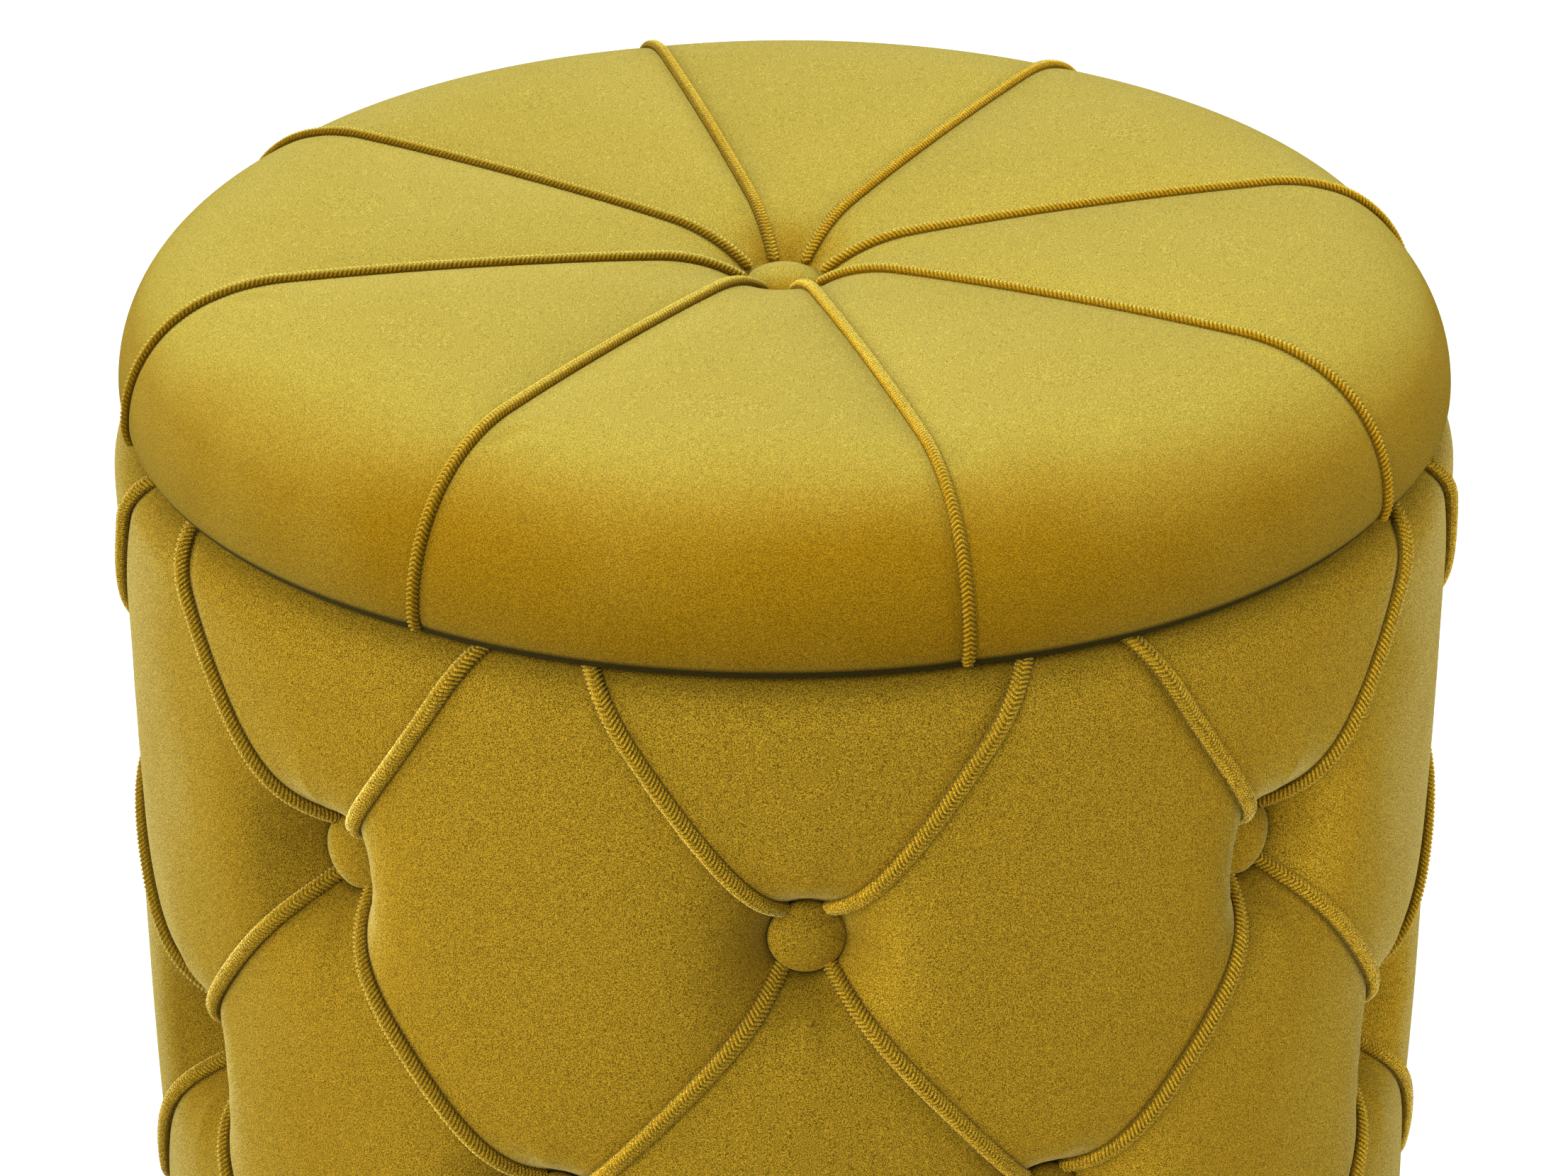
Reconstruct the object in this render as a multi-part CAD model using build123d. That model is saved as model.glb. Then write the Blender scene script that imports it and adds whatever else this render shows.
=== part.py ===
"""Round storage ottoman: a tufted velvet drum with a lift-off cushion lid.

Millimetres, +Z up, origin on the floor under the middle of the drum.
The front looks along -Y. Angles run from the front towards the right (+X).
"""
from build123d import *
import os
from math import acos, asin, atan, ceil, cos, degrees, hypot, radians, sin, sqrt

# Drum frame
foot_height = 15.0
drum_height = 325.0         # floor of the drum's board to the top of the rim
frame_radius = 206.0        # outside of the bent hardboard skin
skin_thickness = 3.0
base_thickness = 12.0
ring_thickness = 15.0
slat_thickness = 15.0
slat_width = 40.0

# Sheet goods and clearances
cover_thickness = 1.5
lining_thickness = 1.0
dust_thickness = 0.8
floor_pad_thickness = 3.0
soft_gap = 0.3              # room left between a soft layer and what it lies on
screw_fit = 0.1

# Drum padding
pad_thickness = 27.5        # frame to the crest of the padding, at the base
wall_flare = 4.5            # how much further out the crest lies at the rim
rim_pad = 12.0              # foam on top of the rim ring
rim_round = 20.0
base_round = 12.0
seam_valley = 2.0           # how far the seams lie below the crest
tuft_foam = 2.9             # foam left under a button
tuft_lip = 4.0              # how far the seams end above a button's seat
tuft_reach = 45.0           # how far a button's pull spreads along a seam
upper_row_drop = 104.0      # rim down to the upper row of buttons
row_spacing = 113.0
panel_count = 8             # buttons in each row, and panels around the lid
pinch = 0.04                # share of the pitch that a closed diamond keeps
seam_bow = 0.17             # how much the seams steepen towards the rim
base_levels = (0, 0.3, 1)   # where outlines lie, as shares of the base's round
rim_levels = (0, 0.1, 0.4, 1)   # the same on the rim's round
tuft_levels = (0, 0.3, 1)   # the same over the reach of a button's pull
level_clear = 5.4           # least height between two outlines on the wall

# Buttons and welts
button_radius = 13.0
button_rim = 2.5
button_crown = 4.0
twine_radius = 1.0
knot_radius = 2.5
washer_radius = 9.0
washer_thickness = 2.0
welt_radius = 2.5
welt_rise = 1.0             # a welt's middle stands this far off the seam
welt_sag = 0.3              # how far a welt's straight runs may cut inside its seam
welt_clear = 0.6            # room between a welt's end and a button or an edge

# Lid
lid_turn = 12.5             # how far the lid is turned on the drum, degrees
lid_inset = 4.5             # the lid's seams lie this far inside the rim's crest
lid_crest = 58.0            # lid's underside to the top of its seams
lid_waist = 9.5             # underside to the widest line
lid_edge_round = 12.0
lid_shoulder_round = 47.0
lid_crown_slope = 22.0      # slope where the crown meets the shoulder, degrees
lid_panel_puff = 2.0        # panels stand this much above the seams
lid_side_puff = 1.5
lid_dimple_radius = 46.0    # where the crown turns down to the button
lid_dimple_round = 61.0
lid_dimple_drop = 5.3       # how far a seam falls from its crest to there
lid_wedge_steps = 4         # outlines across one panel of the lid
lid_button_seat = 38.2      # underside to the button's seat
lid_bore_radius = 3.0
lid_board_thickness = 12.0
lid_edge_pad = 12.0         # foam outside the edge of the lid's board
locator_thickness = 15.0
locator_clearance = 5.0
locator_hole_radius = 16.0
hem_clear = 1.0             # room between the locating disc and the lid's hem

# Storage well
lining_drop = 15.0          # rim down to the lining's top edge
base_hem_width = 14.0       # hem turned in under the bottom board
hem_seam = 1.0              # room between that hem and the dust cover

# Feet and fasteners
foot_count = 4
foot_circle_radius = 150.0
foot_radius = 20.0
foot_taper = 3.0
foot_recess_depth = 8.0
foot_recess_radius = 5.5
screw_radius = 2.0
screw_head_radius = 4.0
screw_head_height = 2.4
foot_screw_length = 16.0
frame_screw_length = 45.0
disc_screw_length = 23.0
disc_screw_count = 6
disc_screw_inset = 30.0     # from the disc's edge
staple_count = 24
staple_width = 10.0
staple_leg = 6.0
staple_wire = 0.8

# Heights worked out from the sizes above
board_bottom = foot_height + dust_thickness
board_top = board_bottom + base_thickness
drum_bottom = board_bottom - cover_thickness
rim_top = foot_height + drum_height
ring_top = rim_top - cover_thickness - soft_gap - rim_pad
ring_bottom = ring_top - ring_thickness
upper_row_z = rim_top - upper_row_drop
lower_row_z = upper_row_z - row_spacing
row_heights = {"upper": upper_row_z, "lower": lower_row_z}

# Radii of the drum's layers, from the skin inwards and then outwards
skin_inner = frame_radius - skin_thickness
wood_radius = skin_inner - soft_gap
slat_face = sqrt(wood_radius**2 - (slat_width / 2) ** 2)
ring_inner = slat_face - slat_thickness
hem_outer = ring_inner - soft_gap
hem_inner = hem_outer - cover_thickness
lining_outer = hem_inner - soft_gap
lining_inner = lining_outer - lining_thickness
base_hem_radius = wood_radius - base_hem_width
crest_radius = frame_radius + pad_thickness
rim_crest_radius = crest_radius + wall_flare
seat_radius = frame_radius + soft_gap + tuft_foam + soft_gap + cover_thickness
tuft_edge_radius = seat_radius + tuft_lip
pitch = 360 / panel_count

# Lid radii and heights
lid_z = rim_top
lid_radius = rim_crest_radius - lid_inset
lid_edge_radius = lid_radius - lid_edge_round + sqrt(lid_edge_round**2 - lid_waist**2)
lid_board_bottom = lid_z + cover_thickness
lid_board_top = lid_board_bottom + lid_board_thickness
lid_board_radius = lid_edge_radius - lid_edge_pad
locator_radius = lining_inner - locator_clearance
locator_bottom = lid_board_bottom - locator_thickness
lid_hem_radius = locator_radius + hem_clear

cover_inset = cover_thickness
foam_inset = cover_thickness + soft_gap


def polar(radius, angle, z):
    """A point at an angle from the front towards the right."""
    return Vector(radius * sin(radians(angle)), -radius * cos(radians(angle)), z)


def radial_plane(radius, angle, z):
    """A plane whose Z looks outwards, with X along the wall and Y up."""
    outward = polar(1, angle, 0)
    return Plane(origin=polar(radius, angle, z), x_dir=polar(1, angle + 90, 0), z_dir=outward)


def upright_plane(radius, angle, z, up=1):
    """A level plane, facing up or down, with X along the wall."""
    return Plane(origin=polar(radius, angle, z), x_dir=polar(1, angle + 90, 0), z_dir=(0, 0, up))


def disc(radius, bottom, top):
    return Pos(0, 0, bottom) * Cylinder(radius, top - bottom, align=(Align.CENTER, Align.CENTER, Align.MIN))


def ring(outer, inner, bottom, top):
    return disc(outer, bottom, top) - disc(inner, bottom, top)


def around(shape, count, first=0.0):
    """Copies of one shape at equal turns about the drum's axis."""
    return [Rot(0, 0, first + k * 360 / count) * shape for k in range(count)]


def grouped(shapes):
    """Separate solids as one compound."""
    return Compound(children=[Part(solid.wrapped) for shape in shapes for solid in shape.solids()])


def cut_all(body, tools):
    """The body with every tool taken out of it."""
    return body - grouped(tools)


def pin(radius, start, end):
    """A cylinder along local Z from start to end."""
    return Pos(0, 0, start) * Cylinder(radius, end - start, align=(Align.CENTER, Align.CENTER, Align.MIN))


def revolved(points):
    """A solid turned about local Z from its outline of radius and height."""
    outline = Polyline(*[(r, 0, z) for r, z in points], close=True)
    return revolve(make_face(outline), Axis.Z)


# The tufted drum

def wave(z):
    """0 at the upper row of buttons, 1 at the lower row, and on up and down the wall."""
    steps = abs(z - upper_row_z) / row_spacing
    return 1 - abs(1 - steps % 2)


def pull(z):
    """How strongly the nearest row of buttons draws a seam in at a height."""
    nearest = min(abs(z - row) for row in row_heights.values())
    return max(0.0, 1 - nearest / tuft_reach) ** 2


def crest_at(z):
    """Radius of the panels' crest at a height, on a wall that flares a little."""
    return crest_radius + wall_flare * (z - drum_bottom) / (rim_top - drum_bottom)


def seam_at(z):
    free = crest_at(z) - seam_valley
    return free - (free - tuft_edge_radius) * pull(z)


def diamond_width(z):
    """Angle that the diamonds under the upper buttons span at a height."""
    rise = max(0.0, z - upper_row_z) / row_spacing
    share = wave(z) - seam_bow * rise**2
    return pitch * min(max(share, pinch), 1 - pinch)


def edge_draw(z, inset):
    """How far the rounded rim and base edge draw the wall in at a height."""
    top_round = rim_round - inset
    low_round = base_round - inset
    over = max(0.0, z - (rim_top - rim_round))
    under = max(0.0, drum_bottom + base_round - z)
    top_draw = top_round - sqrt(max(0.0, top_round**2 - over**2))
    low_draw = low_round - sqrt(max(0.0, low_round**2 - under**2))
    return top_draw + low_draw


def wall_section(z, inset):
    """The drum's outline at a height: an arc for each panel between two seams."""
    width = diamond_width(z)
    draw = inset + edge_draw(z, inset)
    seam = seam_at(z)
    arcs = []
    for k in range(panel_count):
        for centre, span in ((k * pitch, width), ((k + 0.5) * pitch, pitch - width)):
            swell = 1 - (1 - span / pitch) ** 2
            crest = seam + (crest_at(z) - seam) * swell
            start = polar(seam - draw, centre - span / 2, z)
            middle = polar(crest - draw, centre, z)
            end = polar(seam - draw, centre + span / 2, z)
            arcs.append(ThreePointArc(start, middle, end))
    return Wire(arcs)


def wall_levels(inset):
    """Heights of the outlines, closest where the form turns most."""
    low = drum_bottom + inset
    high = rim_top - inset
    top_round = rim_round - inset
    low_round = base_round - inset
    levels = [low + low_round * share for share in base_levels]
    levels += [high - top_round * share for share in rim_levels]
    inner_low = low + low_round + level_clear
    inner_high = high - top_round - level_clear
    free = [(upper_row_z + lower_row_z) / 2]
    for row in row_heights.values():
        for share in tuft_levels:
            free += [row - tuft_reach * share, row + tuft_reach * share]
    kept = []
    for z in sorted(free):
        apart = not kept or z - kept[-1] > level_clear
        if inner_low < z < inner_high and apart:
            kept.append(z)
    return sorted(levels + kept)


def row_angle(row, k):
    """Buttons of the lower row stand half a pitch round from the upper row's."""
    half_steps = round((upper_row_z - row_heights[row]) / row_spacing)
    return (k + half_steps / 2) * pitch


def button_places():
    return [(row, k) for row in row_heights for k in range(panel_count)]


def button_plane(row, k, radius):
    return radial_plane(radius, row_angle(row, k), row_heights[row])


def wall_body(inset):
    """The padded drum as one solid, drawn in by a layer's thickness, with button pockets."""
    sections = [wall_section(z, inset) for z in wall_levels(inset)]
    body = Part(Solid.make_loft(sections, ruled=True).wrapped)
    pocket = pin(button_radius + soft_gap + inset, 0, pad_thickness + wall_flare)
    tools = [button_plane(row, k, seat_radius - inset).location * pocket for row, k in button_places()]
    return cut_all(body, tools)


def twine_holes():
    hole = pin(twine_radius + soft_gap, -pad_thickness, pad_thickness)
    return [button_plane(row, k, seat_radius).location * hole for row, k in button_places()]


def wall_cover(envelope):
    """The velvet: a skin over the padding, turned into the mouth and under the board."""
    skin = envelope - wall_body(cover_inset)
    skin = skin - disc(base_hem_radius, drum_bottom, board_top) - disc(hem_outer, board_top, rim_top)
    skin = skin + ring(hem_outer, hem_inner, ring_bottom, rim_top)
    return cut_all(skin, twine_holes())


def wall_foam():
    foam = wall_body(foam_inset)
    foam = foam - disc(frame_radius + soft_gap, drum_bottom, ring_top)
    foam = foam - disc(ring_inner, ring_bottom, rim_top)
    return cut_all(foam, twine_holes())


def seam_point(z, side):
    """A point of the seam that leaves the front upper button up or down on one side."""
    radius = seam_at(z) - edge_draw(z, 0) + welt_rise
    return polar(radius, side * diamond_width(z) / 2, z)


def bead_along(points, envelope):
    """A round bead along straight runs, cut to lie on the cover."""
    first = Plane(origin=points[0], z_dir=points[1] - points[0])
    bead = sweep(first * Circle(welt_radius), path=Polyline(*points), transition=Transition.RIGHT)
    return bead - envelope


def wall_welt(low, high, side, envelope):
    """The bead on one seam of the drum between two heights."""
    inside = [z for z in wall_levels(0) if low + welt_radius < z < high - welt_radius]
    return bead_along([seam_point(z, side) for z in [low, *inside, high]], envelope)


def wall_welts(envelope):
    """Beads in three bands: rim to upper buttons, between the rows, and down to the base."""
    lean = radians(pitch / 2) * crest_radius / row_spacing
    clear = (button_radius + soft_gap + welt_radius + welt_clear) / hypot(1, lean)
    rim_end = rim_top - welt_radius - welt_clear
    base_end = drum_bottom + welt_radius + welt_clear
    bands = {
        "upper_wall_welts": (upper_row_z + clear, rim_end),
        "middle_wall_welts": (lower_row_z + clear, upper_row_z - clear),
        "lower_wall_welts": (base_end, lower_row_z - clear),
    }
    welts = {}
    for name, (low, high) in bands.items():
        beads = []
        for side in (-1, 1):
            beads += around(wall_welt(low, high, side, envelope), panel_count)
        welts[name] = beads
    return welts


# Buttons, screws and staples

def button():
    """A covered button: a low rim under a dome, with its flat back at the origin."""
    rim = Polyline((0, 0, 0), (button_radius, 0, 0), (button_radius, 0, button_rim))
    sphere_radius = (button_radius**2 + button_crown**2) / (2 * button_crown)
    half_angle = asin(button_radius / sphere_radius) / 2
    centre_z = button_rim + button_crown - sphere_radius
    middle = (sphere_radius * sin(half_angle), 0, centre_z + sphere_radius * cos(half_angle))
    top = (0, 0, button_rim + button_crown)
    dome = ThreePointArc((button_radius, 0, button_rim), middle, top)
    return revolve(make_face(rim + dome + Line(top, (0, 0, 0))), Axis.Z)


def screw(length, fit=0.0):
    """A countersunk screw that points down local -Z with its head's face at the origin."""
    shank = screw_radius + fit
    head = screw_head_radius + fit
    tip = -length - fit
    points = [(0, 0), (head, 0), (shank, -screw_head_height - fit), (shank, tip), (0, tip)]
    return revolved(points)


def staple():
    """A wire staple with its crown along local X, on the origin's plane, and its legs down -Z."""
    half = staple_width / 2
    inner = half - staple_wire
    points = [
        (-half, staple_wire),
        (half, staple_wire),
        (half, -staple_leg),
        (inner, -staple_leg),
        (inner, 0),
        (-inner, 0),
        (-inner, -staple_leg),
        (-half, -staple_leg),
    ]
    outline = Polyline(*[(x, 0, z) for x, z in points], close=True)
    return extrude(make_face(outline), amount=staple_wire / 2, dir=(0, 1, 0), both=True)


def staple_ring(plane):
    """Staples all the way round, from the plane of the first one."""
    return around(plane.location * staple(), staple_count, first=180 / staple_count)


def twine_with_knot(top, bottom):
    """A button's twine along local Z, from its back to a knot behind the washer."""
    return pin(twine_radius, bottom, top) + Pos(0, 0, bottom) * Sphere(knot_radius)


def washer():
    """A back washer whose face is at the origin, with its thickness down -Z."""
    body = pin(washer_radius, -washer_thickness, 0)
    return body - pin(twine_radius + soft_gap, -washer_thickness, 0)


# Drum pieces

def slat_planes(z, up):
    """Planes at the slats' ends, a quarter pitch round so that they clear the buttons."""
    middle = slat_face - slat_thickness / 2
    return [upright_plane(middle, (k + 0.25) * pitch, z, up) for k in range(panel_count)]


def frame_screw_tools(z, up, fit=0.0):
    return [plane.location * screw(frame_screw_length, fit) for plane in slat_planes(z, up)]


def frame_holes():
    return frame_screw_tools(ring_top, 1, screw_fit) + frame_screw_tools(board_bottom, -1, screw_fit)


def wall_slats():
    length = ring_bottom - board_top
    blank = Box(slat_width, slat_thickness, length, align=(Align.CENTER, Align.CENTER, Align.MIN))
    holes = frame_holes()
    return [cut_all(plane.location * blank, holes) for plane in slat_planes(board_top, 1)]


def foot_planes(z, up):
    step = 360 / foot_count
    return [upright_plane(foot_circle_radius, (k + 0.5) * step, z, up) for k in range(foot_count)]


def foot_screws(fit=0.0):
    return [plane.location * screw(foot_screw_length, fit) for plane in foot_planes(foot_recess_depth, -1)]


def feet():
    """Low tapered glides, each with a recess for its screw."""
    points = [
        (0, 0),
        (foot_radius - foot_taper, 0),
        (foot_radius, foot_taper),
        (foot_radius, foot_height),
        (0, foot_height),
    ]
    blank = revolved(points) - pin(foot_recess_radius, 0, foot_recess_depth)
    holes = foot_screws(screw_fit)
    return [cut_all(plane.location * blank, holes) for plane in foot_planes(0, 1)]


def drum_pieces():
    pieces = {}
    envelope = wall_body(0)
    foot_holes = foot_screws(screw_fit)
    pieces["bottom_board"] = cut_all(disc(wood_radius, board_bottom, board_top), frame_holes() + foot_holes)
    pieces["rim_ring"] = cut_all(ring(wood_radius, ring_inner, ring_bottom, ring_top), frame_holes())
    for number, slat in enumerate(wall_slats(), 1):
        pieces[f"wall_slat_{number}"] = slat
    pieces["wall_skin"] = cut_all(ring(frame_radius, skin_inner, board_bottom, ring_top), twine_holes())
    pieces["wall_foam"] = wall_foam()
    pieces["wall_cover"] = wall_cover(envelope)
    pieces.update(wall_welts(envelope))

    washer_face = sqrt(skin_inner**2 - washer_radius**2) - screw_fit
    for row in row_heights:
        seats = [button_plane(row, k, seat_radius).location for k in range(panel_count)]
        backs = [button_plane(row, k, washer_face).location for k in range(panel_count)]
        knot_end = washer_face - washer_thickness - knot_radius - seat_radius
        pieces[f"{row}_wall_buttons"] = [seat * button() for seat in seats]
        pieces[f"{row}_button_twines"] = [seat * twine_with_knot(0, knot_end) for seat in seats]
        pieces[f"{row}_button_washers"] = [back * washer() for back in backs]

    pieces["side_lining"] = ring(lining_outer, lining_inner, board_top, rim_top - lining_drop)
    pieces["floor_pad"] = disc(lining_inner - soft_gap, board_top, board_top + floor_pad_thickness)
    dust_cover = disc(base_hem_radius - hem_seam, board_bottom - dust_thickness, board_bottom)
    pieces["dust_cover"] = cut_all(dust_cover, foot_holes)
    for number, foot in enumerate(feet(), 1):
        pieces[f"foot_{number}"] = foot
    pieces["foot_screws"] = foot_screws()
    pieces["rim_screws"] = frame_screw_tools(ring_top, 1)
    pieces["base_screws"] = frame_screw_tools(board_bottom, -1)

    rim_staple_z = (ring_bottom + rim_top - lining_drop) / 2
    inward = polar(-1, 0, 0)
    rim_plane = Plane(origin=polar(lining_inner, 0, rim_staple_z), x_dir=(1, 0, 0), z_dir=inward)
    pieces["rim_staples"] = staple_ring(rim_plane)
    hem_middle = (base_hem_radius + wood_radius) / 2
    pieces["base_staples"] = staple_ring(upright_plane(hem_middle, 0, drum_bottom, -1))
    return pieces


# Lid pieces

def lid_arcs(puff, inset):
    """The cushion's outline at one angle, from the button out to the bottom edge.

    puff is 0 on a seam and 1 in the middle of a panel. Each entry is an arc's centre, its
    radius, and the slopes where it starts and ends, measured from level in degrees.
    """
    widest = lid_radius + lid_side_puff * puff
    waist = lid_z + lid_waist
    crest = lid_z + lid_crest + lid_panel_puff * puff
    slope = radians(lid_crown_slope)
    shoulder_x = widest - lid_shoulder_round
    join_x = shoulder_x + lid_shoulder_round * sin(slope)
    join_z = waist + lid_shoulder_round * cos(slope)
    crown_round = (crest - join_z) / (1 - cos(slope))
    crest_x = join_x - crown_round * sin(slope)
    drop = lid_dimple_drop + lid_panel_puff * puff
    fall = 2 * atan(drop / (crest_x - lid_dimple_radius))
    inner_round = (crest_x - lid_dimple_radius) / sin(fall)
    dimple_x = lid_dimple_radius + lid_dimple_round * sin(fall)
    dimple_z = crest - inner_round * (1 - cos(fall)) - lid_dimple_round * cos(fall)
    button_edge = button_radius + soft_gap
    start = -degrees(asin((dimple_x - button_edge) / (lid_dimple_round - inset)))
    edge_end = 90 + degrees(asin((lid_waist - inset) / (lid_edge_round - inset)))
    return [
        (dimple_x, dimple_z, lid_dimple_round - inset, start, -degrees(fall)),
        (crest_x, crest - inner_round, inner_round - inset, -degrees(fall), 0),
        (crest_x, crest - crown_round, crown_round - inset, 0, lid_crown_slope),
        (shoulder_x, waist, lid_shoulder_round - inset, lid_crown_slope, 90),
        (widest - lid_edge_round, waist, lid_edge_round - inset, 90, edge_end),
    ]


def arc_point(arc, slope, angle):
    """The point of a lid arc where its surface has a slope, turned to an angle."""
    x, z, radius = arc[:3]
    return polar(x + radius * sin(radians(slope)), angle, z + radius * cos(radians(slope)))


def arc_edge(arc, angle):
    start, end = arc[3:]
    return ThreePointArc(*[arc_point(arc, slope, angle) for slope in (start, (start + end) / 2, end)])


def lid_section(puff, inset, angle):
    """A closed outline of the lid on a half plane through its axis."""
    arcs = lid_arcs(puff, inset)
    first = arc_point(arcs[0], arcs[0][3], angle)
    last = arc_point(arcs[-1], arcs[-1][4], angle)
    bore_top = polar(lid_bore_radius, angle, first.Z)
    bore_bottom = polar(lid_bore_radius, angle, last.Z)
    sides = [Line(last, bore_bottom), Line(bore_bottom, bore_top), Line(bore_top, first)]
    return Wire([arc_edge(arc, angle) for arc in arcs] + sides)


def lid_body(inset):
    """The cushion as one solid of equal panels, drawn in by a layer's thickness."""
    sections = []
    for step in range(lid_wedge_steps + 1):
        share = step / lid_wedge_steps
        puff = 1 - (2 * share - 1) ** 2
        sections.append(lid_section(puff, inset, lid_turn + share * pitch))
    panel = Part(Solid.make_loft(sections).wrapped)
    first, *others = around(panel, panel_count)
    body = first.fuse(*others)
    seat = lid_z + lid_button_seat - inset
    return body - disc(button_radius + soft_gap + inset, seat, lid_z + lid_crest + lid_panel_puff)


def lid_welt(envelope):
    """The bead along one seam, from beside the button to just above the bottom edge."""
    arcs = lid_arcs(0, -welt_rise)
    nearest = button_radius + soft_gap + welt_radius + welt_clear
    lowest = lid_z + welt_radius + welt_clear
    x, z, radius, start, end = arcs[0]
    arcs[0] = (x, z, radius, -degrees(asin((x - nearest) / radius)), end)
    x, z, radius, start, end = arcs[-1]
    arcs[-1] = (x, z, radius, start, 90 + degrees(asin((z - lowest) / radius)))
    points = [arc_point(arcs[0], arcs[0][3], lid_turn)]
    for arc in arcs:
        radius, start, end = arc[2:]
        runs = ceil((end - start) / (2 * degrees(acos(1 - welt_sag / radius))))
        points += [arc_point(arc, start + (end - start) * k / runs, lid_turn) for k in range(1, runs + 1)]
    return bead_along(points, envelope)


def lid_pieces():
    pieces = {}
    envelope = lid_body(0)
    twine_hole = pin(twine_radius + soft_gap, locator_bottom, lid_z + lid_crest)
    screw_circle = locator_radius - disc_screw_inset
    turns = [k * 360 / disc_screw_count for k in range(disc_screw_count)]
    screw_planes = [upright_plane(screw_circle, turn, locator_bottom, -1) for turn in turns]
    screw_holes = [plane.location * screw(disc_screw_length, screw_fit) for plane in screw_planes]

    board = disc(lid_board_radius, lid_board_bottom, lid_board_top)
    pieces["lid_board"] = cut_all(board, screw_holes) - twine_hole
    board_room = disc(lid_board_radius + soft_gap, lid_z, lid_board_top)
    pieces["lid_foam"] = lid_body(foam_inset) - board_room
    hem_opening = disc(lid_hem_radius, lid_z, lid_board_bottom)
    pieces["lid_cover"] = envelope - lid_body(cover_inset) - hem_opening
    for number, bead in enumerate(around(lid_welt(envelope), panel_count), 1):
        pieces[f"lid_welt_{number}"] = bead

    seat = lid_z + lid_button_seat
    pieces["lid_button"] = Pos(0, 0, seat) * button()
    knot_end = lid_board_bottom - washer_thickness - knot_radius
    pieces["lid_button_twine"] = twine_with_knot(seat, knot_end)
    pieces["lid_button_washer"] = Pos(0, 0, lid_board_bottom) * washer()

    disc_body = ring(locator_radius, locator_hole_radius, locator_bottom, lid_board_bottom)
    pieces["locating_disc"] = cut_all(disc_body, screw_holes)
    pieces["disc_screws"] = [plane.location * screw(disc_screw_length) for plane in screw_planes]
    pieces["lid_lining"] = disc(locator_radius, locator_bottom - lining_thickness, locator_bottom)
    staple_circle = (lid_hem_radius + hem_inner) / 2
    pieces["lid_staples"] = staple_ring(upright_plane(staple_circle, 0, lid_z, -1))
    return pieces


def save(name, shape):
    whole = grouped(shape if isinstance(shape, list) else [shape])
    export_step(whole, os.path.join("parts", f"{name}.step"))
    print(f"{name}: {len(whole.solids())} solids, {whole.volume / 1000:.1f} cm3")


def main():
    os.makedirs("parts", exist_ok=True)
    for name, shape in {**drum_pieces(), **lid_pieces()}.items():
        save(name, shape)


if __name__ == "__main__":
    main()
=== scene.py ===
# %% [markdown]
# A round storage ottoman in mustard velvet
#
# The real thing is a stiff drum with a padded, deep-buttoned velvet wall, and a domed cushion lid
# that lifts off its mouth. Its hard parts are already modelled to size and are loaded here as a
# frame. This lesson dresses that frame. It swaps the plain soft solids for sewn and stuffed ones,
# and gives every surface a finish. Everything is in metres, with +Z up and the front facing -Y.

# %% Load the frame
import bpy
import numpy as np
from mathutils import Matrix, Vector


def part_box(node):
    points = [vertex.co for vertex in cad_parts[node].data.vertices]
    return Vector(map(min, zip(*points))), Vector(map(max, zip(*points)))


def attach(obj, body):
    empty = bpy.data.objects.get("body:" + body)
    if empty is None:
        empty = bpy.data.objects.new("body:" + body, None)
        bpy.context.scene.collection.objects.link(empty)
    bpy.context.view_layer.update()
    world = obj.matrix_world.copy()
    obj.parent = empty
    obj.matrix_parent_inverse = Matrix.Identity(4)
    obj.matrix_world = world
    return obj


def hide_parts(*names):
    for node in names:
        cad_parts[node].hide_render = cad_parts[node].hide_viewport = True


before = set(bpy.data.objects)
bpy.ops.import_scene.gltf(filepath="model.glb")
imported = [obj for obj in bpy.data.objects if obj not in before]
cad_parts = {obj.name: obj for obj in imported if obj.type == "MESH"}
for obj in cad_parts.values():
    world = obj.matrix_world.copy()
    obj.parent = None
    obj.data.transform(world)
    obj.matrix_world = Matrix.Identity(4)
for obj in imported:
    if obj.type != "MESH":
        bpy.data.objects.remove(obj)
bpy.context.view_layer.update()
MM = 0.001

# %% [markdown]
# The sizes that the soft pieces have to fit are read off the frame, so that the velvet always lies
# where the board, the buttons and the rim are.

# %% Sizes read from the frame
drum_low, drum_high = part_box("wall_cover")
drum_bottom = drum_low.z
rim_top = drum_high.z
skin_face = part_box("wall_skin")[1].x
lining_low, lining_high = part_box("side_lining")
cloth_room = 0.3 * MM
mouth_radius = lining_high.x + cloth_room
lid_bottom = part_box("lid_cover")[0].z
button_low, button_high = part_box("lid_button")
button_radius = (button_high.x - button_low.x) / 2
button_height = button_high.z - button_low.z
lid_seat = button_low.z
wall_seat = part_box("upper_wall_buttons")[1].x - button_height


def middle_height(node):
    low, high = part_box(node)
    return (low.z + high.z) / 2


upper_row = middle_height("upper_wall_buttons")
lower_row = middle_height("lower_wall_buttons")
row_spacing = upper_row - lower_row
panel_count = 8
pitch = 2 * np.pi / panel_count
print(f"skin radius {skin_face:.4f}, rows of buttons at {upper_row:.4f} and {lower_row:.4f}")

# %% [markdown]
# The camera stands where the photographer stood: well back and a touch to the left, with a long lens,
# looking down at about 26 degrees. The focal length is worked out from the picture's width in pixels.

# %% Camera
photo_width = 2212
focal_pixels = 7488
sensor_width = 36
look_down = np.radians(26.21)
from_side = np.radians(-2)
camera_back = 1.7235
camera_height = 1.1072

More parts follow.
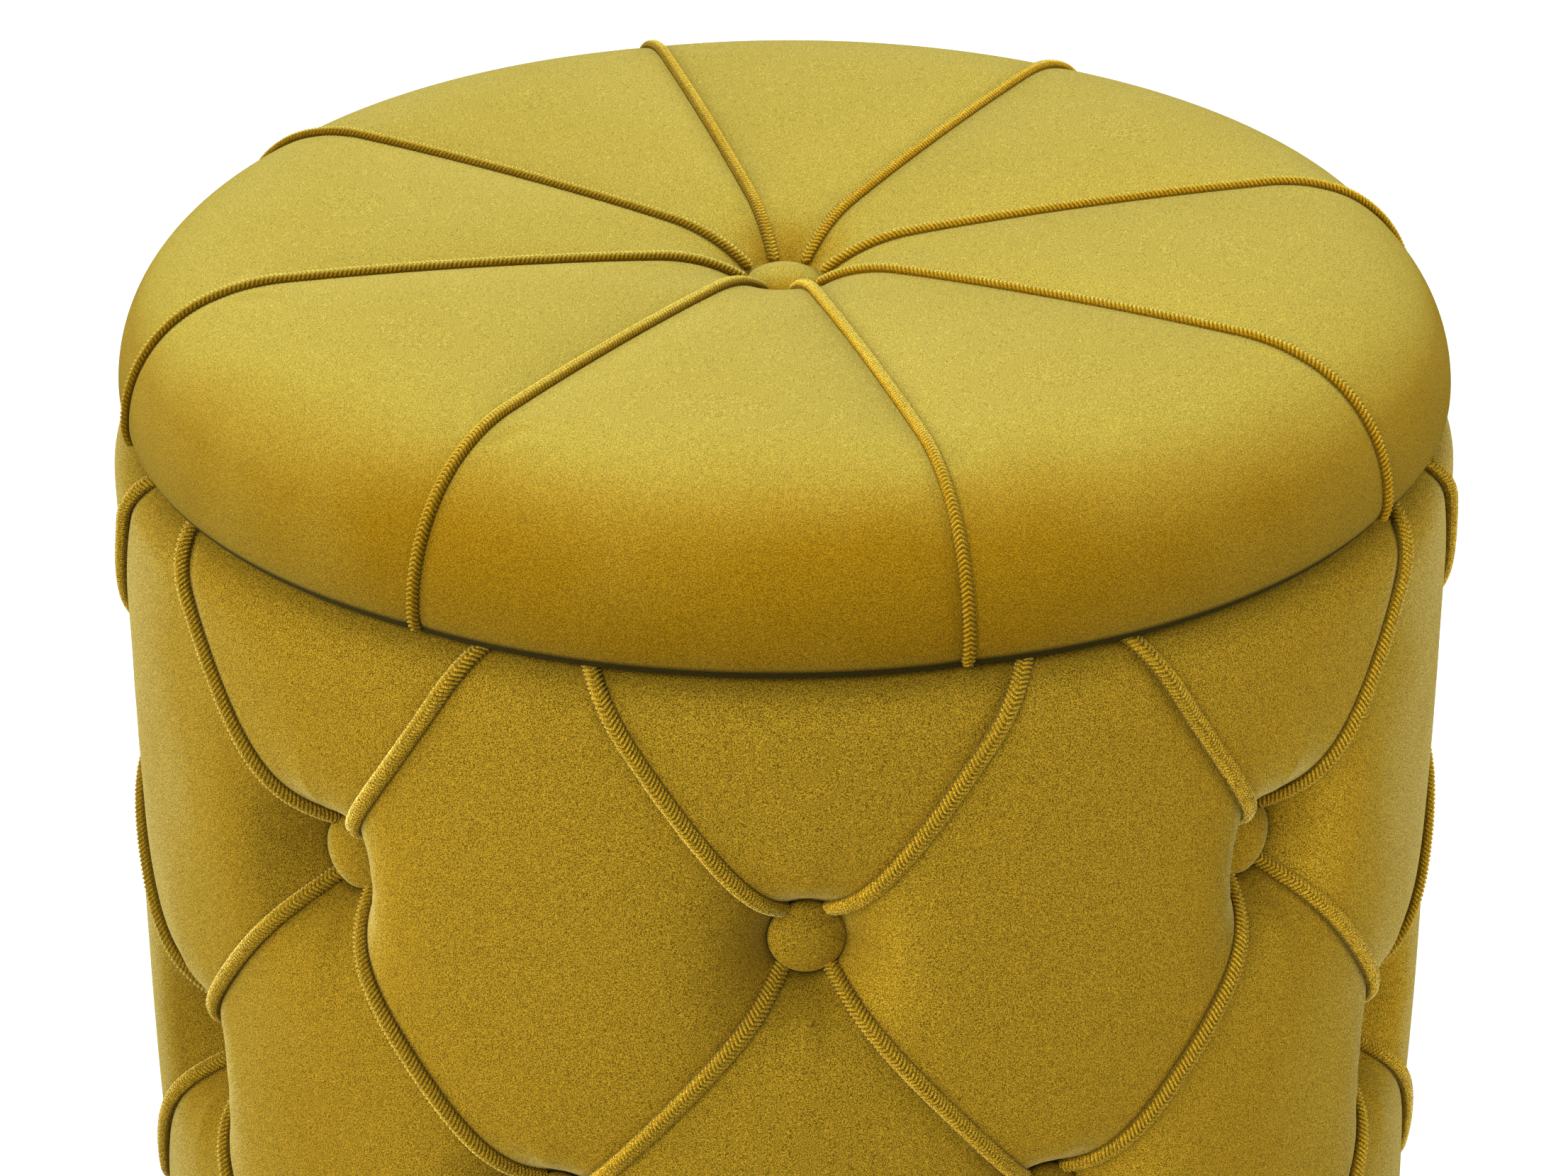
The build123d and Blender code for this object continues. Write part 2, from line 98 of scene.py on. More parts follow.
bpy.ops.object.select_all(action="DESELECT")
bpy.ops.object.camera_add(
    location=(camera_back * np.sin(from_side), -camera_back * np.cos(from_side), camera_height),
    rotation=(np.pi / 2 - look_down, 0, from_side),
)
camera = bpy.context.object
camera.data.sensor_fit = "HORIZONTAL"
camera.data.sensor_width = sensor_width
camera.data.lens = focal_pixels * sensor_width / photo_width
bpy.context.scene.camera = camera
bpy.context.scene.view_settings.view_transform = "Standard"
print(f"lens {camera.data.lens:.1f} mm")

# %% [markdown]
# Materials are node trees. Colours are written as the sRGB hex values that a paint chart would give,
# and one function turns them into the linear numbers that the renderer works in. Another small
# function adds a node, sets it up and links it, so that each finish below reads like a recipe.


# %% Colour and node helpers
def linear(code):
    """A hex colour as linear red, green, blue and alpha."""
    shares = np.array([int(code[k:k + 2], 16) for k in (1, 3, 5)]) / 255
    low = shares / 12.92
    high = ((shares + 0.055) / 1.055) ** 2.4
    return (*[float(value) for value in np.where(shares <= 0.04045, low, high)], 1.0)


def add_node(tree, kind, sockets, shades=(), **settings):
    """Add one node with its settings, its sockets in order or by name, and the shades of a ramp.

    A socket's entry is a value to set or another node's output to link.
    """
    node = tree.nodes.new(kind)
    for name, value in settings.items():
        setattr(node, name, value)
    if not isinstance(sockets, dict):
        sockets = dict(enumerate(sockets))
    for name, value in sockets.items():
        if isinstance(value, bpy.types.NodeSocket):
            tree.links.new(value, node.inputs[name])
        else:
            node.inputs[name].default_value = value
    for place, code in shades[1:-1]:
        node.color_ramp.elements.new(place)
    for k, (place, code) in enumerate(shades):
        node.color_ramp.elements[k].position = place
        node.color_ramp.elements[k].color = linear(code)
    return node


def new_finish(name, **constants):
    """A material whose shader has these constants, with its tree, shader and object coordinates."""
    material = bpy.data.materials.new(name)
    material.use_nodes = True
    tree = material.node_tree
    shader = tree.nodes["Principled BSDF"]
    for socket, value in constants.items():
        shader.inputs[socket.replace("_", " ")].default_value = value
    places = add_node(tree, "ShaderNodeTexCoord", []).outputs["Object"]
    return material, tree, shader, places


def spots_per_metre(size_mm):
    """A texture's scale from the size of its pattern."""
    return 1 / (size_mm * MM)


print("mustard in linear light:", [round(value, 3) for value in linear("#A28125")])

# %% [markdown]
# Velvet is a knitted ground with a short cut pile. Looked at straight on it is deep and saturated,
# because the eye sees down between the fibres. Looked at from the side, the fibres catch the light
# and it turns pale: that is its sheen, painted into the colour by a Layer Weight node and a ramp of
# shades. On the lid's steep sides less of this painted sheen is left, a painted shade where less
# light falls from above. The nap also lies a little lighter or darker in broad patches.

# %% The sheen of velvet
nap_size = 60
nap_reach = (-0.05, 0.05)
noise_spread = (0.3, 0.7)
steep_spread = (0.5, 0.95)


def sheen_colour(tree, places, normal, steep_painted_sheen, shades):
    """The velvet's colour, deep where it faces the eye and pale where it turns away.

    The shades are pairs: how far the cloth turns away, and the colour there, a painted sheen. On a
    steep slope this share of it is left, a painted shade for the lesser light from above.
    """
    across = add_node(tree, "ShaderNodeLayerWeight", {"Blend": 0.5})
    upright = add_node(tree, "ShaderNodeSeparateXYZ", [normal])
    steepness = [upright.outputs["Z"], *steep_spread, steep_painted_sheen, 1.0]
    # Painted shade: less of the sheen is left on steep slopes, where less light falls from above.
    steep_painted_shade = add_node(tree, "ShaderNodeMapRange", steepness)
    turned = [across.outputs["Facing"], steep_painted_shade.outputs["Result"]]
    sheen = add_node(tree, "ShaderNodeMath", turned, operation="MULTIPLY")
    patches = {"Vector": places, "Scale": spots_per_metre(nap_size), "Detail": 2.0}
    nap = add_node(tree, "ShaderNodeTexNoise", patches)
    brushed = add_node(tree, "ShaderNodeMapRange", [nap.outputs["Fac"], *noise_spread, *nap_reach])
    both = [sheen.outputs[0], brushed.outputs["Result"]]
    caught = add_node(tree, "ShaderNodeMath", both, operation="ADD")
    return add_node(tree, "ShaderNodeValToRGB", [caught.outputs[0]], shades).outputs["Color"]


print(f"nap in patches of about {nap_size} mm")

# %% [markdown]
# The pile leans one way round the ottoman, down the wall and up the lid. A slope that faces along the
# lean is painted paler than one that faces against it. This is partly the nap's tone and partly
# painted light and shade: up-facing slopes are painted paler on the lid, as under light from above,
# and darker on the wall, as in the shade under the lid's edge. None of this depends on the eye, only
# on how a slope tilts, so it is worked out from the surface's normal.

# %% The lean of the pile, and painted light by slope
lean_spread = (-0.5, 0.5)
nap_and_painted_light_tones = (0.7, 1.3)
level_only = (1, 1, 0)
upwards = (0, 0, 1)


def nap_and_painted_light_tone(tree, places, normal, lean_up):
    """How light a slope is: the nap leaning left and this much up, and painted light and shade."""
    level = add_node(tree, "ShaderNodeVectorMath", [places, level_only], operation="MULTIPLY")
    outward = add_node(tree, "ShaderNodeVectorMath", [level.outputs[0]], operation="NORMALIZE")
    beside = [outward.outputs[0], upwards]
    left = add_node(tree, "ShaderNodeVectorMath", beside, operation="CROSS_PRODUCT")
    climbing = [left.outputs[0], (0, 0, lean_up)]
    slant = add_node(tree, "ShaderNodeVectorMath", climbing, operation="ADD")
    along = [normal, slant.outputs[0]]
    tilt = add_node(tree, "ShaderNodeVectorMath", along, operation="DOT_PRODUCT")
    tilted = [tilt.outputs["Value"], *lean_spread, *nap_and_painted_light_tones]
    return add_node(tree, "ShaderNodeMapRange", tilted).outputs["Result"]


print("tones from the lean:", nap_and_painted_light_tones)

# %% [markdown]
# Single tufts of pile show as a fine speckle. They are drawn as coarse as they need to be to show. A
# mark kept on a mesh's points paints light and shade into the colour: -1 is painted shade deep in a
# fold, in the gap round a button and under the lid's edge, where hardly any light gets in, and up to
# 1 is a painted highlight on the ribs that stand out of it. The wall and the lid have a velvet each,
# because their piles lean different ways and their painted light and sheen differ.

# %% Velvet
pile_size = 0.36
pile_height = 0.4 * MM
painted_light_attribute = "painted_light"
painted_light_spread = (-1.0, 1.0)
painted_light_tones = (0.08, 1.92)


def velvet(name, lean_up, steep_painted_sheen, grain, shades):
    """Velvet with painted light and shade, whose nap leans left and this much up, speckled this strong.
    """
    finish, tree, shader, places = new_finish(
        name,
        Roughness=0.9,
        Specular_IOR_Level=0.0,
        Sheen_Weight=0.1,
        Sheen_Roughness=0.5,
        Sheen_Tint=linear("#F4E890"),
    )
    normal = add_node(tree, "ShaderNodeNewGeometry", []).outputs["Normal"]
    tufts = {"Vector": places, "Scale": spots_per_metre(pile_size), "Detail": 0.0}
    pile = add_node(tree, "ShaderNodeTexNoise", tufts)
    stand = {"Height": pile.outputs["Fac"], "Strength": 0.8, "Distance": pile_height}
    tips = add_node(tree, "ShaderNodeBump", stand)
    speckle = add_node(
        tree, "ShaderNodeMapRange", [pile.outputs["Fac"], *noise_spread, 1 - grain, 1 + grain]
    )
    # Painted light and shade kept on the mesh: dark in folds, gaps and under edges, light on the ribs.
    mark = add_node(tree, "ShaderNodeAttribute", [], attribute_name=painted_light_attribute)
    painted_light = add_node(tree, "ShaderNodeMapRange", [mark.outputs["Fac"], *painted_light_spread, *painted_light_tones])
    tone = speckle.outputs["Result"]
    for factor in (nap_and_painted_light_tone(tree, places, normal, lean_up), painted_light.outputs["Result"]):
        tone = add_node(tree, "ShaderNodeMath", [tone, factor], operation="MULTIPLY").outputs[0]
    sheen = sheen_colour(tree, places, normal, steep_painted_sheen, shades)
    colour = add_node(
        tree, "ShaderNodeMix", {0: 1.0, 6: sheen, 7: tone}, data_type="RGBA", blend_type="MULTIPLY"
    )
    tree.links.new(colour.outputs[2], shader.inputs["Base Color"])
    tree.links.new(tips.outputs["Normal"], shader.inputs["Normal"])
    return finish


# Ramps of painted sheen. The lid's velvet is the same cloth with its own painted light and shade.
wall_shades = [(0.0, "#A08020"), (0.45, "#A27F1C"), (0.65, "#A98A2A"), (1.0, "#C8B468")]
lid_shades = [(0.02, "#86640C"), (0.2, "#947822"), (0.45, "#9E8C36")]
lid_shades += [(0.6, "#A08F3C"), (1.0, "#AA9B4E")]
finishes = {}
finishes["velvet"] = velvet(
    "mustard_velvet", lean_up=-0.6, steep_painted_sheen=1.0, grain=0.65, shades=wall_shades
)
finishes["lid_velvet"] = velvet(
    "mustard_velvet_lid", lean_up=0.4, steep_painted_sheen=0.25, grain=0.4, shades=lid_shades
)
print("velvets:", [finish.name for finish in finishes.values()])

# %% [markdown]
# The hidden cloths are plain. The well is lined with black spunbond, a non-woven whose fibres are
# welded together in a grid of tiny dots. Its floor is black needle felt.

# %% Lining
weld_spacing = 2.5
fibre_size = 0.8


def spunbond():
    finish, tree, shader, places = new_finish("black_spunbond", Roughness=0.7, Sheen_Weight=0.1)
    dots = {"Vector": places, "Scale": spots_per_metre(weld_spacing), "Randomness": 0.15}
    welds = add_node(tree, "ShaderNodeTexVoronoi", dots)
    strands = {"Vector": places, "Scale": spots_per_metre(fibre_size), "Detail": 4.0}
    fibres = add_node(tree, "ShaderNodeTexNoise", strands)
    both = {"Factor": 0.5, 2: welds.outputs["Distance"], 3: fibres.outputs["Fac"]}
    tone = add_node(tree, "ShaderNodeMix", both)
    shades = [(0.0, "#151515"), (1.0, "#3A3A3A")]
    ramp = add_node(tree, "ShaderNodeValToRGB", [tone.outputs[0]], shades)
    embossed = {"Height": tone.outputs[0], "Strength": 0.5, "Distance": 0.3 * MM}
    relief = add_node(tree, "ShaderNodeBump", embossed)
    tree.links.new(ramp.outputs["Color"], shader.inputs["Base Color"])
    tree.links.new(relief.outputs["Normal"], shader.inputs["Normal"])
    return finish


finishes["lining"] = spunbond()
print("cloth:", finishes["lining"].name)

# %% [markdown]
# Felt, wood, plastic, steel and twine all have a grain: a noise that shades the surface and raises it
# a little. One function makes them all from their two shades, and from the size of the grain, its
# relief and how far it is stretched along Z.


# %% Felt and other grained finishes
def grained(
    name,
    dark,
    light,
    grain_mm,
    relief_mm,
    relief=0.4,
    detail=3.0,
    distortion=0.0,
    stretch=1.0,
    spread=noise_spread,
    **constants,
):
    """A finish whose noise gives its two shades and its relief."""
    finish, tree, shader, places = new_finish(name, **constants)
    along = add_node(tree, "ShaderNodeMapping", {"Vector": places, "Scale": (1.0, 1.0, stretch)})
    pattern = {"Scale": spots_per_metre(grain_mm), "Detail": detail, "Distortion": distortion}
    grain = add_node(tree, "ShaderNodeTexNoise", {"Vector": along.outputs["Vector"], **pattern})
    shades = list(zip(spread, (dark, light)))
    ramp = add_node(tree, "ShaderNodeValToRGB", [grain.outputs["Fac"]], shades)
    raised = {"Height": grain.outputs["Fac"], "Strength": relief, "Distance": relief_mm * MM}
    bumps = add_node(tree, "ShaderNodeBump", raised)
    tree.links.new(ramp.outputs["Color"], shader.inputs["Base Color"])
    tree.links.new(bumps.outputs["Normal"], shader.inputs["Normal"])
    return finish


needled = {"relief": 0.7, "detail": 6.0, "distortion": 2.0, "spread": (0.3, 0.75)}
finishes["floor_felt"] = grained(
    "black_needle_felt", "#101010", "#3D3B39", 1.5, 0.8, Roughness=0.95, Sheen_Weight=0.25, **needled
)
print("felt:", finishes["floor_felt"].name)

# %% [markdown]
# The wooden parts are sheet goods and planed bars. Their grain is stretched along the wood: long and
# thin for pine, shorter for plywood, and only a fine fleck for hardboard.

# %% Wood
grain_sizes = {"plywood": (4, 12), "pine": (3, 60), "hardboard": (1.5, 2)}
wood_looks = {
    "plywood": ("sanded_poplar_plywood", "#B08A58", "#D2B07C", 0.6),
    "pine": ("planed_pine", "#B98A50", "#DDB982", 0.55),
    "hardboard": ("brown_hardboard", "#5B3B22", "#7A5434", 0.7),
}
sawn = {"relief": 0.3, "detail": 5.0, "distortion": 0.6, "Specular_IOR_Level": 0.3}
for wood, (name, dark, light, roughness) in wood_looks.items():
    width, length = grain_sizes[wood]
    finishes[wood] = grained(
        name, dark, light, width, 0.3, stretch=width / length, Roughness=roughness, **sawn
    )
print("woods:", [finishes[wood].name for wood in wood_looks])

# %% [markdown]
# The small hardware is moulded black plastic with a spark-eroded grain, zinc-plated steel with a
# faint brushed haze, and waxed nylon twine.

# %% Plastic, steel and twine
finishes["black_plastic"] = grained(
    "moulded_black_plastic", "#17171A", "#242427", 0.8, 0.1, Roughness=0.45
)
finishes["steel"] = grained(
    "zinc_plated_steel", "#B4B6BA", "#D0D2D6", 0.6, 0.05, Roughness=0.32, Metallic=1.0
)
finishes["twine"] = grained("waxed_nylon_twine", "#C9C2AE", "#E6E0CF", 0.7, 0.3, Roughness=0.6)
print("hardware:", [finishes[key].name for key in ("black_plastic", "steel", "twine")])

# %% [markdown]
# The set is a plain pale floor under soft light. A long lens looking down sees only floor behind the
# ottoman, so the floor itself has to be the white background. It is an ordinary pale surface that
# takes the ottoman's shadow, with a little extra white that only the camera and mirrors see.

# %% Floor and world
floor_radius = 9
floor_glow = 0.85
ambient_strength = 0.42


def shown_white(tree):
    """1 for rays that come straight from the camera, a mirror or glass, and 0 for light."""
    path = add_node(tree, "ShaderNodeLightPath", [])
    seen = path.outputs["Is Camera Ray"]
    for ray in ("Is Glossy Ray", "Is Transmission Ray"):
        either = add_node(tree, "ShaderNodeMath", [seen, path.outputs[ray]], operation="MAXIMUM")
        seen = either.outputs[0]
    return seen


def white_floor():
    material, tree, shader, places = new_finish("pale_floor", Roughness=0.9, Specular_IOR_Level=0.0)
    shader.inputs["Base Color"].default_value = linear("#B4B4B2")
    shader.inputs["Emission Color"].default_value = linear("#FFFFFF")
    glow = add_node(tree, "ShaderNodeMath", [shown_white(tree), floor_glow], operation="MULTIPLY")
    tree.links.new(glow.outputs[0], shader.inputs["Emission Strength"])
    return material


bpy.ops.object.select_all(action="DESELECT")
bpy.ops.mesh.primitive_circle_add(vertices=96, radius=floor_radius, fill_type="NGON", location=(0, 0, 0))
floor = bpy.context.object
floor.name = "floor"
floor.data.materials.append(white_floor())

world = bpy.data.worlds.new("studio")
bpy.context.scene.world = world
world.use_nodes = True
sky = world.node_tree
backdrop = sky.nodes["Background"]
strengths = {"Factor": shown_white(sky), 2: ambient_strength, 3: 1.0}
brightness = add_node(sky, "ShaderNodeMix", strengths)
sky.links.new(brightness.outputs[0], backdrop.inputs["Strength"])
backdrop.inputs["Color"].default_value = linear("#FFFFFF")
print("floor and world ready")

# %% [markdown]
# Four soft boxes do the lighting. A broad one overhead makes the lid the brightest part and leaves a
# soft shade under its edge. One in front on the left draws out the seams and tucks, and one on each
# side keeps the drum's edges from going dull.


# %% Soft boxes
def soft_box(name, place, target, size, watts):
    bpy.ops.object.select_all(action="DESELECT")
    bpy.ops.object.light_add(type="AREA", location=place)
    lamp = bpy.context.object
    lamp.name = name
    lamp.data.shape = "DISK"
    lamp.data.size = size
    lamp.data.energy = watts
    aim = Vector(target) - Vector(place)
    lamp.rotation_euler = aim.to_track_quat("-Z", "Y").to_euler()


soft_box("front_box", (-0.8, -2.0, 1.6), target=(0, 0, 0.25), size=1.2, watts=33)
soft_box("overhead_box", (-0.2, -0.1, 2.4), target=(0, 0, 0.3), size=1.6, watts=23)
soft_box("right_box", (2.0, -0.3, 1.1), target=(0, 0, 0.2), size=1.2, watts=18)
soft_box("left_box", (-2.0, -0.2, 1.1), target=(0, 0, 0.2), size=1.2, watts=16)
print("four soft boxes")

# %% [markdown]
# Almost every soft piece here is a strip or ring of cloth, so one helper starts them all. It adds a
# grid primitive, lays its points on the wanted places, and welds the edges and poles that meet.
# Points that a stitch or a staple holds go into a vertex group before the weld, which keeps it. The
# marks of painted light and shade are kept on the points in the same way.

# %% A grid laid on a shape
weld_distance = 0.001 * MM
stitched = "stitched"


def keep_painted_marks(piece, marks):
    """Keep a mark of painted light and shade for each point of a mesh, for the velvet's shader."""
    layer = piece.data.attributes.new(painted_light_attribute, "FLOAT", "POINT")
    layer.data.foreach_set("value", marks.astype(np.float32).ravel())


def points_of(piece):
    """A mesh's points, as an array with XYZ last."""
    places = np.empty(len(piece.data.vertices) * 3, np.float32)
    piece.data.vertices.foreach_get("co", places)
    return places.reshape(-1, 3)


def move_points(piece, places):
    """Set a mesh's points on new places."""
    piece.data.vertices.foreach_set("co", places.astype(np.float32).ravel())
    piece.data.update()


def laid_grid(name, places, held=None, painted_marks=None):
    """A grid with its points laid on places, an array of rows by columns by XYZ."""
    rows, columns = places.shape[:2]
    bpy.ops.object.select_all(action="DESELECT")
    bpy.ops.mesh.primitive_grid_add(x_subdivisions=columns - 1, y_subdivisions=rows - 1, size=1)
    piece = bpy.context.object
    piece.name = name
    piece.data.name = name
    move_points(piece, places)
    if held is not None:
        group = piece.vertex_groups.new(name=stitched)
        group.add(np.flatnonzero(held.ravel()).tolist(), 1.0, "REPLACE")
    if painted_marks is not None:
        keep_painted_marks(piece, painted_marks)
    bpy.ops.object.mode_set(mode="EDIT")
    bpy.ops.mesh.select_all(action="SELECT")
    bpy.ops.mesh.remove_doubles(threshold=weld_distance)
    bpy.ops.mesh.normals_make_consistent(inside=False)
    bpy.ops.object.mode_set(mode="OBJECT")
    bpy.ops.object.shade_smooth()
    return piece


def around(radius, angle, height):
    """Points at an angle from the front towards the right, as one array with XYZ last."""
    radius, angle, height = np.broadcast_arrays(radius, angle, height)
    return np.stack([radius * np.sin(angle), -radius * np.cos(angle), height], axis=-1)


def apply_modifier(piece, kind, **settings):
    """Add a modifier, set it and apply it at once."""
    bpy.ops.object.select_all(action="DESELECT")
    piece.select_set(True)
    bpy.context.view_layer.objects.active = piece
    modifier = piece.modifiers.new(kind.title(), kind)
    for name, value in settings.items():
        setattr(modifier, name, value)
    bpy.ops.object.modifier_apply(modifier=modifier.name)


def dress(piece, finish, slot, body, *nodes):
    """Give a finished piece its material, and say what it rides on and stands for."""
    piece.data.materials.clear()
    piece.data.materials.append(finishes[finish])
    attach(piece, body)
    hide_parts(*nodes)
    print(f"{piece.name}: {len(piece.data.polygons)} faces")


# %% [markdown]
# Stuffed velvet is best blown up rather than drawn. Blender's Cloth treats the mesh as fabric, holds
# the stitched points still and pushes everything else out with an even pressure, so the panels take
# the crowned shape that foam gives them. A cap on the movement keeps them to size.

# %% Stuffing a cover
least_move = 1e-6 * MM


def stuff(piece, pressure, limit, frames=16):
    """Blow a cover up with Cloth, held at its stitched points, by no more than a limit."""
    before = points_of(piece)
    cloth = piece.modifiers.new("Cloth", "CLOTH")
    cloth.settings.vertex_group_mass = stitched
    cloth.settings.use_pressure = True
    cloth.settings.uniform_pressure_force = pressure
    cloth.settings.effector_weights.gravity = 0
    cloth.settings.quality = 4
    cloth.point_cache.frame_end = frames
    for frame_number in range(1, frames + 1):
        bpy.context.scene.frame_set(frame_number)
    bpy.context.view_layer.objects.active = piece
    bpy.ops.object.modifier_apply(modifier=cloth.name)
    bpy.context.scene.frame_set(1)
    moved = points_of(piece) - before
    far = np.linalg.norm(moved, axis=1, keepdims=True)
    moved *= np.minimum(1, limit / np.maximum(far, least_move))
    move_points(piece, before + moved)
    print(f"{piece.name}: stuffed by up to {far.max() / MM:.1f} mm, mean {far.mean() / MM:.2f} mm")


# %% [markdown]
# The drum's wall is deep-buttoned. Seams run from button to button and cut it into diamonds, each a
# little pillow. Two numbers place a point on the wall: its turn, counted in buttons from the front,
# and its lift, counted in rows above the upper buttons. A seam leans by half a turn for each row, and
# bows a little as it nears the rim. The lean added to or taken from the turn is a whole number exactly
# on a seam, which makes the distance to the nearest seam easy to find.

# %% Diamonds on the wall
pad_thickness = 27.5 * MM
wall_flare = 4.5 * MM
seam_bow = 0.085


def crest_at(height):
    """The padding's radius, which grows a little towards the rim."""
    return skin_face + pad_thickness + wall_flare * (height - drum_bottom) / (rim_top - drum_bottom)


def lean(lift):
    """How many turns a seam has leaned over at a lift."""
    return lift / 2 - seam_bow * np.maximum(lift, 0) ** 2


pitch_arc = crest_at(upper_row) * pitch
seam_gap = 1 / np.hypot(1 / pitch_arc, 0.5 / row_spacing)
seam_run = np.hypot(pitch_arc / 2, row_spacing)
button_rows = ((0, 0.0), (-1, 0.5))


def from_whole(value):
    return value - np.round(value)


def seam_distances(turn, lift):
    """How far a point of the wall is from the nearest seam of each of the two slants."""
    rising = np.abs(from_whole(turn - lean(lift))) * seam_gap
    falling = np.abs(from_whole(turn + lean(lift))) * seam_gap
    return rising, falling


def button_distance(turn, lift, row):
    row_lift, shift = row
    return np.hypot(from_whole(turn - shift) * pitch_arc, (lift - row_lift) * row_spacing)


print(f"diamonds are {pitch_arc / MM:.0f} mm wide and {2 * row_spacing / MM:.0f} mm tall")

# %% [markdown]
# Each button is pulled in hard. The pull dies away slowly along the seams, which are tight, and fast
# towards the middle of a diamond, where the foam swells over the button's edge. No two diamonds are
# stuffed quite alike, so a seeded set of numbers makes some a little fuller.

# %% How deep the velvet lies
seam_depth = 1.2 * MM
seam_shoulder = 45 * MM
tuft_flat = button_radius + 0.6 * MM
pull_along_seam = 15 * MM
pull_into_panel = 10.5 * MM
panel_slant = 0.6
pull_power = 1.15
crease_depth = 0.7 * MM
crease_width = 3.6 * MM
# Painted shade along the creases beside the tucks, and in a narrow ring round each button.
crease_painted_shade = 0.12
button_shade_width = 2.2 * MM
fullness = 0.15
fullness_rows = 6
fullness_spread = np.random.default_rng(7).uniform(-fullness, fullness, (panel_count, fullness_rows))
on_seam = 1e-6


def crowned(distance):
    """0 on a seam, rising to 1 at the shoulder of the panel."""
    return 1 - (1 - np.clip(distance / seam_shoulder, 0, 1)) ** 2


def wall_relief(turn, lift):
    """How far the stuffed panels lie inside the crest, before any button is drawn in."""
    rising, falling = seam_distances(turn, lift)
    column = np.floor(turn - lean(lift) + on_seam).astype(int)
    row = np.floor(turn + lean(lift) + on_seam).astype(int) - column
    spread = fullness_spread[column % panel_count, row % fullness_rows]
    return seam_depth * (crowned(rising) * crowned(falling) * (1 + spread) - 1)


def crease(distance):
    """The narrow dip on both sides of a tuck, where its stitches pull."""
    return crease_depth * np.exp(-((distance / crease_width) ** 2))


def tuft_pull(turn, lift):
    """How far the buttons draw the velvet in."""
    nearest_seam = np.minimum(*seam_distances(turn, lift))
    pull = np.zeros(np.shape(nearest_seam))
    for button_row in button_rows:
        distance = button_distance(turn, lift, button_row)
        slant = nearest_seam / np.maximum(distance, MM)
        into_panel = np.clip(slant / panel_slant, 0, 1)
        fade = pull_along_seam + (pull_into_panel - pull_along_seam) * into_panel
        depth = crest_at(upper_row + button_row[0] * row_spacing) - seam_depth - wall_seat
        pull += depth * np.exp(-((np.maximum(distance - tuft_flat, 0) / fade) ** pull_power))
    return pull


print(f"the upper buttons draw the velvet in by {(crest_at(upper_row) - wall_seat) / MM:.1f} mm")

# %% [markdown]
# Seen in section, the velvet starts under the bottom board, turns up round the base, climbs the wall,
# rolls over the rim and ends in the mouth of the drum. Each point of that line has a radius, a
# height and the direction that the cloth faces there.

# %% The wall's section
base_round = 12 * MM
rim_round = 20 * MM
mouth_round = 8 * MM
rim_clear = 0.4 * MM
steps_per_row = 16
row_margin = 0.3
corner_points = 6
rim_points = 8
flat_points = 5
hem_points = 4
hem_room = 1 * MM
hem_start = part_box("dust_cover")[1].x + hem_room
hem_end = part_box("rim_ring")[0].z
board_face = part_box("bottom_board")[0].z
ring_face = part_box("rim_ring")[1].z
back_radius = skin_face + cloth_room


def rounded(x, z, radius, start, end, count):
    """Points round a corner about a centre, from one facing to another in degrees."""
    facings = np.radians(np.linspace(start, end, count))
    return [(x + radius * np.cos(f), z + radius * np.sin(f), f) for f in facings]


def wall_section():
    low = drum_bottom + base_round
    high = rim_top - rim_clear - rim_round
    step = row_spacing / steps_per_row
    base_x = crest_at(low) - base_round
    rim_x = crest_at(high) - rim_round
    mouth_x = mouth_radius + mouth_round
    mouth_z = rim_top - rim_clear - mouth_round
    under = np.linspace(hem_start, base_x, flat_points)[:-1]
    points = [(r, drum_bottom, -np.pi / 2) for r in under]
    points += rounded(base_x, low, base_round, -90, 0, corner_points)
    first = np.ceil((low - upper_row) / step + row_margin)
    last = (high - upper_row) / step - row_margin
    points += [(crest_at(z), z, 0.0) for z in upper_row + step * np.arange(first, last)]
    points += rounded(rim_x, high, rim_round, 0, 90, rim_points)
    top = np.linspace(rim_x, mouth_x, flat_points)[1:-1]
    points += [(r, rim_top - rim_clear, np.pi / 2) for r in top]
    points += rounded(mouth_x, mouth_z, mouth_round, 90, 180, corner_points)
    down = np.linspace(mouth_z, hem_end, hem_points)[1:]
    points += [(mouth_radius, z, np.pi) for z in down]
    return np.array(points)


section = wall_section()
section_steps = np.hypot(*np.diff(section[:, :2], axis=0).T)
section_run = np.concatenate([[0], np.cumsum(section_steps)])
on_upper_row = np.argmin(np.abs(section[:, 1] - upper_row) + np.abs(section[:, 2]))
section_lift = (section_run - section_run[on_upper_row]) / row_spacing
section_share = np.where(np.abs(section[:, 2]) < np.pi / 2, np.cos(section[:, 2]) ** 2, 0)
print(f"the wall's section has {len(section)} points over {section_run[-1] / MM:.0f} mm")

# %% [markdown]
# The padding's back lies against the skin, the rim ring and the board. Closing the section along
# them makes the wall one solid ring of velvet and foam. Each straight run keeps a little way off its
# corners, so that smoothing later leaves them crisp.

# %% The padded wall
wall_columns = panel_count * 2 * steps_per_row
corner_room = 0.375 * MM
held_near_button = 20 * MM
held_near_seam = 0.1 * MM
loose_share = 0.99
outside_depth = 8 * MM
cloth_thickness = 1.5 * MM


def squared(corners):
    """A run of straight lines whose corners are cut off by a hair."""
    points = []
    for start, end in zip(corners[:-1], corners[1:]):
        along = np.subtract(end, start)
        room = along / np.linalg.norm(along) * corner_room
        points += [start + room, end - room]
    return np.array(points)


